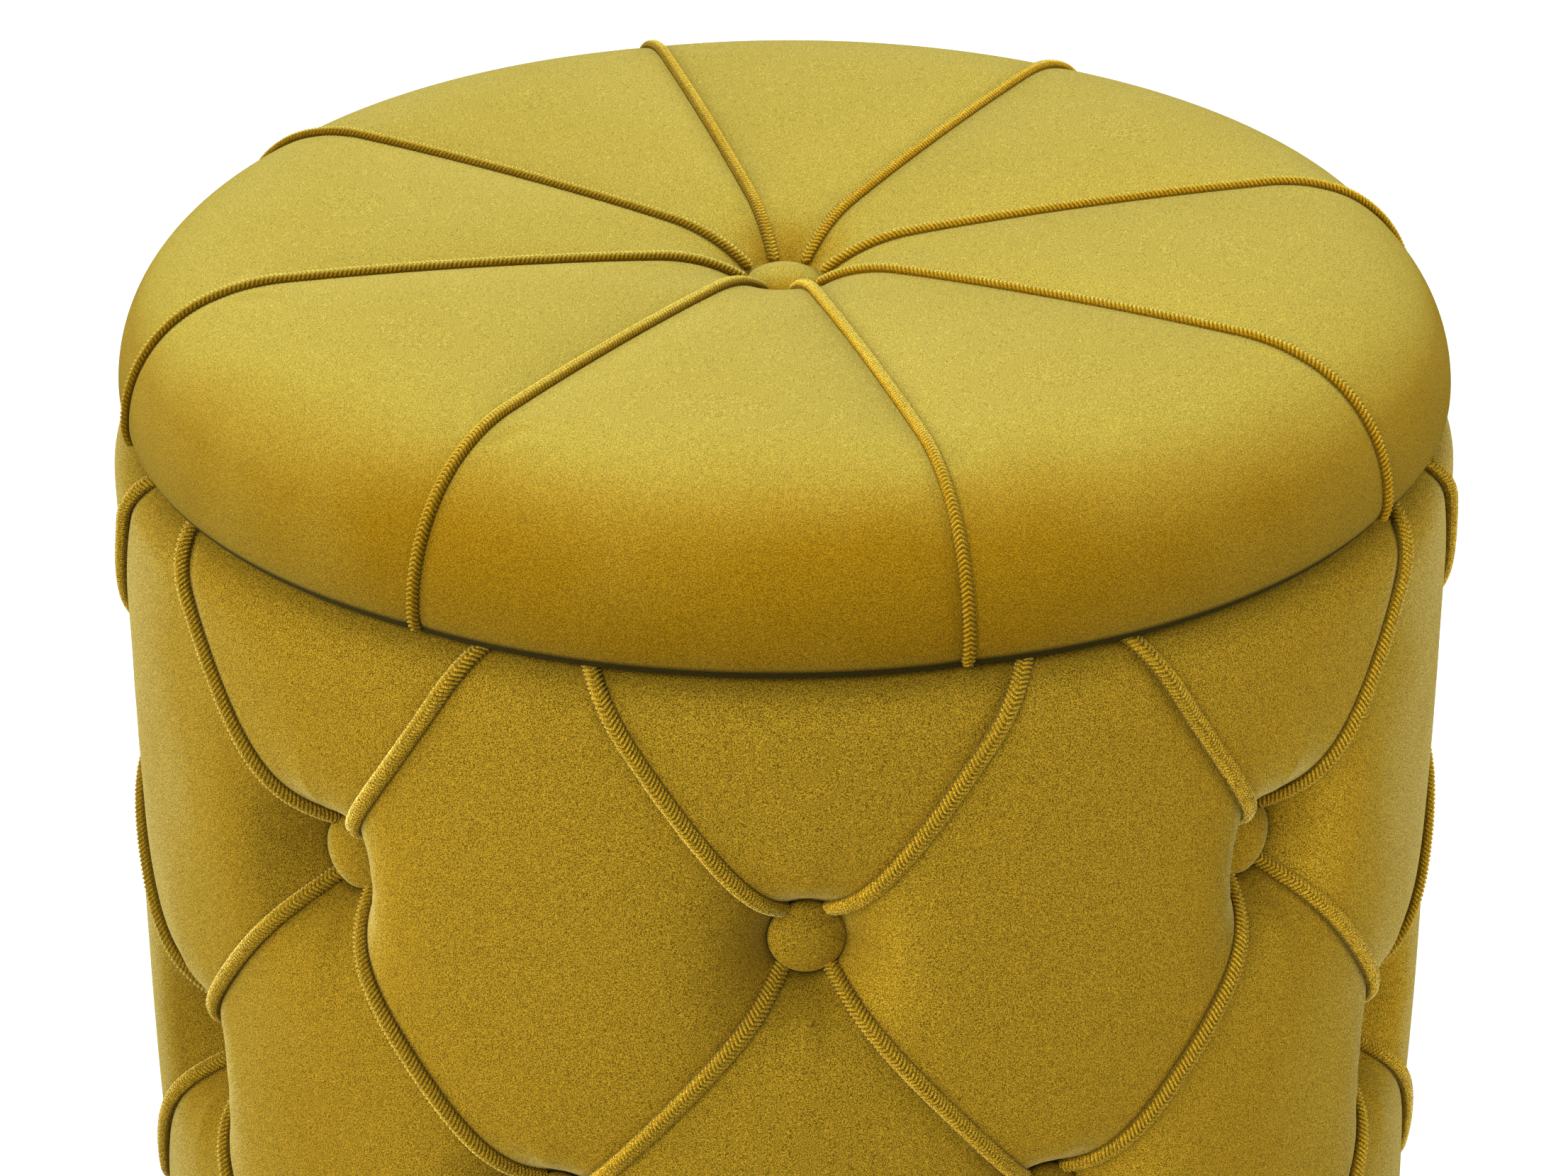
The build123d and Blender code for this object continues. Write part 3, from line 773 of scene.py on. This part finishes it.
def padded_wall():
    back = squared([
        (mouth_radius, hem_end),
        (mouth_radius + cloth_thickness, hem_end),
        (mouth_radius + cloth_thickness, ring_face),
        (back_radius, ring_face),
        (back_radius, board_face),
        (hem_start, board_face),
        (hem_start, drum_bottom),
    ])
    still = np.zeros(len(back))
    radius = np.concatenate([section[:, 0], back[:, 0], section[:1, 0]])[:, None]
    height = np.concatenate([section[:, 1], back[:, 1], section[:1, 1]])[:, None]
    facing = np.concatenate([section[:, 2], still, section[:1, 2]])[:, None]
    lift = np.concatenate([section_lift, still, section_lift[:1]])[:, None]
    share = np.concatenate([section_share, still, [0]])[:, None]
    turn = np.linspace(0, panel_count, wall_columns + 1)[None, :]
    relief = wall_relief(turn, lift) * share
    places = around(radius + relief * np.cos(facing), turn * pitch, height + relief * np.sin(facing))
    places[:, -1] = places[:, 0]
    held = np.minimum(*seam_distances(turn, lift)) < held_near_seam
    for row in button_rows:
        held |= button_distance(turn, lift, row) < held_near_button
    held |= share < loose_share
    return laid_grid("padded_wall", places, held)


def draw_in_buttons(piece):
    """Pull a fine wall in at its buttons and tucks, leaving the back of the padding alone."""
    x, y, height = points_of(piece).T
    radius = np.hypot(x, y)
    turn = np.arctan2(x, -y) / pitch
    outside = radius > crest_at(height) - outside_depth
    lift = (height - upper_row) / row_spacing
    dip = crease(np.minimum(*seam_distances(turn, lift)))
    pull = np.where(outside, tuft_pull(turn, lift) + dip, 0)
    gap = np.minimum(*[button_distance(turn, lift, row) for row in button_rows]) - button_radius
    # Painted shade: darker in the gap round each button and along the creases by the tucks.
    pocket = np.exp(-((np.maximum(gap, 0) / button_shade_width) ** 2))
    keep_painted_marks(piece, -np.maximum(crease_painted_shade * dip / crease_depth, pocket))
    move_points(piece, around(radius - pull, turn * pitch, height))


wall = padded_wall()
stuff(wall, pressure=4, limit=1 * MM)
apply_modifier(wall, "SUBSURF", levels=2, render_levels=2)
draw_in_buttons(wall)
dress(wall, "velvet", "velvet", "drum", "wall_cover", "wall_foam")

# %% [markdown]
# Along each seam the velvet is folded and sewn into a narrow tuck, which stands up like a bead.
# Where the pile parts over the fold, the knitted ground shows as two rows of slanted ribs that meet
# in the middle. The bead is a long grid wrapped round the seam's line, whose radius rises and falls
# with the ribs. Real ribs are about 1.5 mm apart.

# %% A ribbed tuck along a line
wall_bead = 2.5 * MM
wall_bead_rise = 1.2 * MM
lid_bead = 1.9 * MM
lid_bead_rise = 0.6 * MM
rib_pitch = 1.6 * MM
rings_per_rib = 4
rib_height = 0.26
rib_slant = 0.5
fold_depth = 0.14
fold_width = 0.3
tip_length = 2.2 * MM
flank_angle = np.radians(80)
# Painted light on the tucks: lighter ribs, darker grooves, and painted shade on the flanks.
rib_painted_light = 0.2
rib_painted_contrast = 0.8
flank_painted_shade = 0.35
bead_top = np.linspace(-108, 108, 13)
bead_back = [145, 180, 215, 252]
bead_angles = np.radians(np.concatenate([bead_top, bead_back]))


def even_steps(line, out, step):
    """A line's points and directions set again at even steps, and how far along each one is."""
    run = np.concatenate([[0], np.cumsum(np.linalg.norm(np.diff(line, axis=0), axis=1))])
    at = np.linspace(0, run[-1], int(np.ceil(run[-1] / step)) + 1)
    middle, up = [
        np.stack([np.interp(at, run, values[:, axis]) for axis in range(3)], axis=1)
        for values in (line, out)
    ]
    return middle, up, at


def ribbed_tuck(name, line, out, bead_radius):
    """A bead along a line of points, given with the directions that face out of the cloth."""
    middle, up, at = even_steps(line, out, rib_pitch / rings_per_rib)
    along = np.gradient(middle, axis=0)
    along /= np.linalg.norm(along, axis=1, keepdims=True)
    up -= along * np.sum(up * along, axis=1, keepdims=True)
    up /= np.linalg.norm(up, axis=1, keepdims=True)
    side = np.cross(along, up)
    angle = bead_angles[None, :]
    folded = np.where(np.abs(angle) > np.pi, 2 * np.pi - np.abs(angle), np.abs(angle))
    wave = np.sin(2 * np.pi * (at[:, None] - rib_slant * folded * bead_radius) / rib_pitch)
    ends = np.clip(np.minimum(at, at[-1] - at) / tip_length, 0, 1)
    taper = np.sqrt(1 - (1 - ends) ** 2)[:, None]
    parting = fold_depth * np.exp(-((folded / fold_width) ** 2))
    radius = bead_radius * (1 + rib_height * wave - parting) * taper
    across = np.cos(angle)[..., None] * up[:, None] + np.sin(angle)[..., None] * side[:, None]
    places = middle[:, None] + radius[..., None] * across
    # The ribs get a painted highlight and the grooves painted shade; the flanks are painted dark.
    painted_marks = np.where(folded < flank_angle, rib_painted_light + rib_painted_contrast * wave, -flank_painted_shade)
    return laid_grid(name, places, painted_marks=painted_marks)


def joined(pieces, name):
    """Several pieces made one object, under one name."""
    bpy.ops.object.select_all(action="DESELECT")
    for piece in pieces:
        piece.select_set(True)
    bpy.context.view_layer.objects.active = pieces[0]
    bpy.ops.object.join()
    pieces[0].name = name
    pieces[0].data.name = name
    return pieces[0]


print(f"{len(bead_angles) - 1} faces round a bead, {rings_per_rib} rings to a rib")

# %% [markdown]
# The wall's tucks come in three bands: from the rim to the upper buttons, between the two rows, and
# from the lower buttons to the base. Their ends are pushed in under the edges of the buttons.

# %% Tucks on the wall
tuck_clear = (button_radius - 0.5 * MM) / seam_run
tuck_reach = 0.96
tuck_points = 120
tuck_bands = {
    "upper_wall_welts": (tuck_clear, tuck_reach),
    "middle_wall_welts": (tuck_clear - 1, -tuck_clear),
    "lower_wall_welts": (-1 - tuck_reach, -1 - tuck_clear),
}


def wall_line(turn, lift, rise):
    """Points on the wall's velvet, and the way that they face."""
    radius, height, facing, share = [
        np.interp(lift, section_lift, values) for values in (*section.T, section_share)
    ]
    stand = (wall_relief(turn, lift) - tuft_pull(turn, lift)) * share + rise
    line = around(radius + stand * np.cos(facing), turn * pitch, height + stand * np.sin(facing))
    return line, around(np.cos(facing), turn * pitch, np.sin(facing))


for node, (low, high) in tuck_bands.items():
    lifts = np.linspace(low, high, tuck_points)
    beads = []
    for k in range(panel_count):
        for side in (-1, 1):
            line, out = wall_line(k + side * lean(lifts), lifts, wall_bead_rise)
            beads.append(ribbed_tuck("tuck", line, out, wall_bead))
    dress(joined(beads, node.replace("welts", "tucks")), "velvet", "velvet", "drum", node)

# %% [markdown]
# A covered button is a low metal shell with velvet pulled over it. A cylinder's top face is inset and
# lifted a few times to make the dome, and a subdivision rounds it. One button is modelled and the
# rest are copies.

# %% Covered buttons
button_sides = 48
button_rim = 0.38
button_edge = 0.8 * MM
facing_up = 0.9
dome_steps = 6
dome_insets = dome_steps + 0.5
dome_power = 2.4


def covered_button(name):
    """A button with its flat back on the origin, facing up."""
    rim = button_height * button_rim
    crown = button_height - rim
    bpy.ops.object.select_all(action="DESELECT")
    bpy.ops.mesh.primitive_cylinder_add(
        vertices=button_sides, radius=button_radius, depth=rim, location=(0, 0, rim / 2)
    )
    button = bpy.context.object
    button.name = name
    bpy.ops.object.transform_apply(location=True)
    bpy.ops.object.mode_set(mode="EDIT")
    bpy.ops.mesh.select_all(action="DESELECT")
    bpy.ops.object.mode_set(mode="OBJECT")
    for face in button.data.polygons:
        face.select = face.normal.z > facing_up
    bpy.ops.object.mode_set(mode="EDIT")
    height = 0.0
    for k in range(1, dome_steps + 1):
        lifted = crown * (1 - (1 - k / dome_insets) ** dome_power)
        bpy.ops.mesh.inset(thickness=button_radius / dome_insets)
        bpy.ops.transform.translate(value=(0, 0, lifted - height))
        height = lifted
    bpy.ops.object.mode_set(mode="OBJECT")
    bpy.ops.object.shade_smooth()
    apply_modifier(button, "BEVEL", width=button_edge, segments=2, limit_method="ANGLE")
    apply_modifier(button, "SUBSURF", levels=1, render_levels=1)
    return button


def copied(piece, matrix):
    """A copy with its own mesh, set in place by a matrix."""
    twin = piece.copy()
    twin.data = piece.data.copy()
    bpy.context.collection.objects.link(twin)
    twin.data.transform(matrix)
    return twin


print("button is", round(2 * button_radius / MM, 1), "mm across")

# %% [markdown]
# Each button sits where the velvet is drawn in deepest and faces straight out. It is turned on its
# thread and tilted by up to a few degrees, because no thread is pulled quite evenly.

# %% Buttons on the wall and the lid
from mathutils import Euler, Matrix

tilts = np.random.default_rng(3)
most_tilt = 0.06


def wall_button(pattern, turn, height):
    angle = turn * pitch
    spin = Matrix.Rotation(tilts.uniform(0, 2 * np.pi), 4, "Z")
    tilt = Euler(tilts.uniform(-most_tilt, most_tilt, 2).tolist() + [0]).to_matrix().to_4x4()
    outwards = Matrix.Rotation(angle, 4, "Z") @ Matrix.Rotation(np.pi / 2, 4, "X")
    place = Matrix.Translation(Vector(around(wall_seat, angle, height).tolist()))
    return copied(pattern, place @ outwards @ tilt @ spin)


pattern = covered_button("button_pattern")
for node, (row_lift, shift) in zip(("upper_wall_buttons", "lower_wall_buttons"), button_rows):
    height = upper_row + row_lift * row_spacing
    row = [wall_button(pattern, k + shift, height) for k in range(panel_count)]
    dress(joined(row, node.replace("buttons", "covered_buttons")), "velvet", "velvet", "drum", node)
lid_button = copied(pattern, Matrix.Translation((0, 0, lid_seat)))
lid_button.name = "lid_covered_button"
dress(lid_button, "lid_velvet", "velvet", "lid", "lid_button")
bpy.data.objects.remove(pattern)

# %% [markdown]
# The lid is a round cushion sewn from eight wedges. Its section is a chain of arcs: a dimple round
# the button, a broad crown, a round shoulder and a tight edge at the bottom. In the middle of a wedge
# the crown stands a few millimetres higher than on a seam.

# %% The lid's section
lid_turn = np.radians(12.5)
lid_setback = 4.5 * MM
lid_radius = crest_at(rim_top) - lid_setback
lid_crest = 58 * MM
lid_waist = 9.5 * MM
edge_round = 12 * MM
shoulder_round = 47 * MM
crown_slope = np.radians(22)
panel_puff = 2 * MM
side_puff = 1.5 * MM
dimple_radius = 46 * MM
dimple_round = 61 * MM
dimple_drop = 5.3 * MM
arc_steps = (9, 8, 14, 12, 5)


def lid_arcs(puff):
    """Arcs of the section as centre radius, centre height, radius and the slopes at their ends."""
    widest = lid_radius + side_puff * puff
    waist = lid_bottom + lid_waist
    crest = lid_bottom + lid_crest + panel_puff * puff
    shoulder_x = widest - shoulder_round
    join_x = shoulder_x + shoulder_round * np.sin(crown_slope)
    join_z = waist + shoulder_round * np.cos(crown_slope)
    crown_round = (crest - join_z) / (1 - np.cos(crown_slope))
    crest_x = join_x - crown_round * np.sin(crown_slope)
    fall = 2 * np.arctan((dimple_drop + panel_puff * puff) / (crest_x - dimple_radius))
    inner_round = (crest_x - dimple_radius) / np.sin(fall)
    dimple_x = dimple_radius + dimple_round * np.sin(fall)
    dimple_z = crest - inner_round * (1 - np.cos(fall)) - dimple_round * np.cos(fall)
    first = -np.arcsin((dimple_x - button_radius - MM) / dimple_round)
    last = np.pi / 2 + np.arcsin(lid_waist / edge_round)
    return [
        (dimple_x, dimple_z, dimple_round, first, -fall),
        (crest_x, crest - inner_round, inner_round, -fall, 0),
        (crest_x, crest - crown_round, crown_round, 0, crown_slope),
        (shoulder_x, waist, shoulder_round, crown_slope, np.pi / 2),
        (widest - edge_round, waist, edge_round, np.pi / 2, last),
    ]


def lid_section(puff, steps):
    """Radius, height and slope down one section of the lid, from the button to the bottom edge."""
    points = []
    for (x, z, radius, start, end), count in zip(lid_arcs(puff), steps):
        for slope in np.linspace(start, end, count + 1)[1 if points else 0:]:
            points.append((x + radius * np.sin(slope), z + radius * np.cos(slope), slope))
    return np.array(points)


seam_section = lid_section(0, arc_steps)
print(f"the lid's section has {len(seam_section)} points, up to {seam_section[:, 1].max():.4f}")

# %% [markdown]
# The cushion is closed underneath: the velvet turns under the edge as a hem, and the foam's back lies
# on the lid's board. Only the wedges are free to swell. The seams, the button and the hem are held.

# %% The lid cushion
wedge_columns = 28
wedge_crowding = 0.75
wedge_power = 2.2
lid_crease = 0.4
lid_hem_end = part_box("locating_disc")[1].x + hem_room
board_low, board_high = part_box("lid_board")
board_edge = board_high.x + cloth_room
board_top = board_high.z + cloth_room
hem_height = lid_bottom + cloth_room
hem_inset = 4 * MM
underside_points = 6
lid_pocket = ((0, MM), (0.6, MM), (0.95, 0))
held_rows_inside = 6
held_rows_outside = 4
# Painted shade: the velvet turned under the lid's edge, past these slopes, is darkened.
under_edge_shade_from = np.radians(111)
under_edge_shade_to = np.radians(118)


def lid_cushion():
    columns = panel_count * wedge_columns
    even = np.arange(columns + 1) / wedge_columns
    crowded = even - wedge_crowding * np.sin(2 * np.pi * even) / (2 * np.pi)
    off_seam = np.abs(from_whole(crowded))
    puff = 1 - np.abs(1 - 2 * off_seam) ** wedge_power
    angle = lid_turn + crowded * pitch
    sections = np.stack([lid_section(value, arc_steps) for value in puff], axis=1)
    dip = lid_crease * crease(off_seam * pitch * sections[..., 0])
    sections[..., 0] -= dip * np.sin(sections[..., 2])
    sections[..., 1] -= dip * np.cos(sections[..., 2])
    pocket = [(share * button_radius, lid_seat - drop) for share, drop in lid_pocket]
    hem = np.linspace(lid_radius - hem_inset, lid_hem_end, underside_points)
    underside = [(r, hem_height) for r in hem]
    back = squared([
        (lid_hem_end, hem_height),
        (lid_hem_end, board_low.z),
        (board_edge, board_low.z),
        (board_edge, board_top),
        (0, board_top),
    ])
    below = [*underside, *back, (0, board_top)]
    rows = [np.tile(point, (columns + 1, 1)) for point in pocket]
    rows += list(sections[..., :2])
    rows += [np.tile(point, (columns + 1, 1)) for point in below]
    rows = np.array(rows)
    places = around(rows[..., 0], angle[None, :], rows[..., 1])
    places[:, -1] = places[:, 0]
    # Painted shade: dark in the button's pocket, underneath, under the edge and by the tucks.
    painted_marks = -np.ones(places.shape[:2])
    under = np.clip((sections[..., 2] - under_edge_shade_from) / (under_edge_shade_to - under_edge_shade_from), 0, 1)
    painted_crease_shade = crease_painted_shade * dip / crease_depth
    painted_marks[len(pocket):len(pocket) + len(sections)] = -np.maximum(under, painted_crease_shade)
    held = np.ones(places.shape[:2], bool)
    first = len(pocket) + held_rows_inside
    last = len(pocket) + len(sections) - held_rows_outside
    held[first:last] = (np.arange(columns + 1) % wedge_columns == 0)[None, :]
    return laid_grid("lid_cushion", places, held, painted_marks)


lid = lid_cushion()
stuff(lid, pressure=3, limit=0.8 * MM)
apply_modifier(lid, "SUBSURF", levels=1, render_levels=1)
dress(lid, "lid_velvet", "velvet", "lid", "lid_cover", "lid_foam")

# %% [markdown]
# The lid's eight seams carry the same ribbed tuck. Each runs from the button's edge, over the crown
# and the shoulder, and down to the bottom edge.

# %% Tucks on the lid
tuck_steps = (12, 12, 20, 20, 6)
tuck_end = lid_bottom + 1.5 * MM

tuck_section = lid_section(0, tuck_steps)
radius, height, slope = tuck_section[tuck_section[:, 1] > tuck_end].T
bead_x = radius + lid_bead_rise * np.sin(slope)
bead_z = height + lid_bead_rise * np.cos(slope)
for number in range(1, panel_count + 1):
    angle = lid_turn + (number - 1) * pitch
    line = around(bead_x, angle, bead_z)
    out = around(np.sin(slope), angle, np.cos(slope))
    bead = ribbed_tuck(f"lid_tuck_{number}", line, out, lid_bead)
    dress(bead, "lid_velvet", "velvet", "lid", f"lid_welt_{number}")

# %% [markdown]
# Inside, the well is lined with black spunbond. It is cut as one long strip, hung from the staples
# under the rim, so it ripples a little. The dust cover under the board is the same cloth, and so is
# the lining that is pulled over the lid's locating disc.

# %% Cloths of the well and the undersides
lining_radius = lining_high.x - 0.4 * MM
lining_slack = 1.6 * MM
lining_columns = 240
lining_rows = 14
disc_columns = 192
disc_points = 18
spunbond_thickness = 0.5 * MM
well_ripples = ((0.3, 11, 4), (0.2, 24, -3))
disc_ripples = ((1.0, 9, 20), (0.6, 23, -9))


def rippled(angle, along, ripples, middle=0.0):
    """Waves about a middle, each with its strength, its count round the cloth and its drift."""
    wave = middle
    for strength, count, drift in ripples:
        wave = wave + strength * np.sin(count * angle + drift * along)
    return wave


def well_lining():
    angle = np.linspace(0, 2 * np.pi, lining_columns + 1)[None, :]
    height = np.linspace(lining_low.z, lining_high.z, lining_rows + 1)[:, None]
    slack = (lining_high.z - height) / (lining_high.z - lining_low.z)
    ripple = rippled(angle, slack, well_ripples, middle=0.5)
    places = around(lining_radius - lining_slack * ripple * np.sqrt(slack), angle, height)
    places[:, -1] = places[:, 0]
    piece = laid_grid("well_lining", places)
    apply_modifier(piece, "SOLIDIFY", thickness=spunbond_thickness, offset=0)
    return piece


def round_cloth(name, section_points, wrinkle):
    """A disc of cloth from its section, with faint radial wrinkles towards its edge."""
    angle = np.linspace(0, 2 * np.pi, disc_columns + 1)[None, :]
    points = np.array(section_points)
    radius = points[:, :1]
    spread = (radius / radius.max()) ** 2
    wave = rippled(angle, spread, disc_ripples)
    places = around(radius, angle, points[:, 1:] + wrinkle * wave * spread)
    places[:, -1] = places[:, 0]
    piece = laid_grid(name, places)
    apply_modifier(piece, "SOLIDIFY", thickness=spunbond_thickness, offset=0)
    return piece


lining = well_lining()
dress(lining, "lining", "lining", "drum", "side_lining")

dust_low, dust_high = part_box("dust_cover")
dust_height = (dust_low.z + dust_high.z) / 2
dust_section = [(r, dust_height) for r in np.linspace(0, dust_high.x, disc_points)]
dust = round_cloth("underside_cloth", dust_section, wrinkle=0.1 * MM)
dress(dust, "lining", "lining", "drum", "dust_cover")

# %% [markdown]
# The lid's lining is pulled over the locating disc, round its edge and up its side. The well's floor
# is a thick disc of felt, made as a cylinder whose edges are bevelled.

# %% Lining of the lid and felt of the floor
disc_low, disc_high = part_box("locating_disc")
wrap_radius = disc_high.x + 0.5 * MM
wrap_drop = 0.5 * MM
wrap_round = 2 * MM


def lid_lining_section():
    under = disc_low.z - wrap_drop
    turn_x = wrap_radius - wrap_round
    flat = [(r, under) for r in np.linspace(0, turn_x, disc_points)]
    edge = rounded(turn_x, under + wrap_round, wrap_round, -90, 0, flat_points)
    climb = np.linspace(disc_low.z + 2 * wrap_round, disc_high.z - wrap_drop, flat_points)
    side = [(wrap_radius, z) for z in climb]
    return flat + [point[:2] for point in edge[1:]] + side


lid_cloth = round_cloth("lid_underlining", lid_lining_section(), wrinkle=0.08 * MM)
dress(lid_cloth, "lining", "lining", "lid", "lid_lining")

felt_sides = 128
felt_room = 0.8 * MM
felt_edge = 1.2 * MM
crisp_angle = np.radians(50)


def floor_felt():
    """A thick disc of felt: a cylinder with softened edges."""
    low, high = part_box("floor_pad")
    bpy.ops.object.select_all(action="DESELECT")
    bpy.ops.mesh.primitive_cylinder_add(
        vertices=felt_sides,
        radius=high.x - felt_room,
        depth=high.z - low.z,
        location=(0, 0, (low.z + high.z) / 2),
    )
    felt = bpy.context.object
    felt.name = "floor_felt"
    bpy.ops.object.transform_apply(location=True)
    apply_modifier(felt, "BEVEL", width=felt_edge, segments=3, limit_method="ANGLE")
    bpy.ops.object.shade_smooth_by_angle(angle=crisp_angle)
    return felt


felt = floor_felt()
dress(felt, "floor_felt", "floor_felt", "drum", "floor_pad")

# %% [markdown]
# Everything that is hard keeps its shape from the frame and only needs its finish. Each of these
# pieces takes the material of the stuff that it is made of.

# %% Finishes of the hard pieces
back_washers = ("upper_button_washers", "lower_button_washers", "lid_button_washer")
screwed = ("foot", "rim", "base", "disc")
stapled = ("rim", "base", "lid")
hard_pieces = {
    "plywood": ("bottom_board", "rim_ring", "lid_board", "locating_disc"),
    "pine": tuple(f"wall_slat_{number}" for number in range(1, panel_count + 1)),
    "hardboard": ("wall_skin",),
    "black_plastic": ("foot_1", "foot_2", "foot_3", "foot_4", *back_washers),
    "steel": (*[f"{part}_screws" for part in screwed], *[f"{part}_staples" for part in stapled]),
    "twine": ("upper_button_twines", "lower_button_twines", "lid_button_twine"),
}
for finish, nodes in hard_pieces.items():
    for node in nodes:
        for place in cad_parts[node].material_slots:
            place.material = finishes[finish]
print("hard pieces finished:", sum(len(nodes) for nodes in hard_pieces.values()))
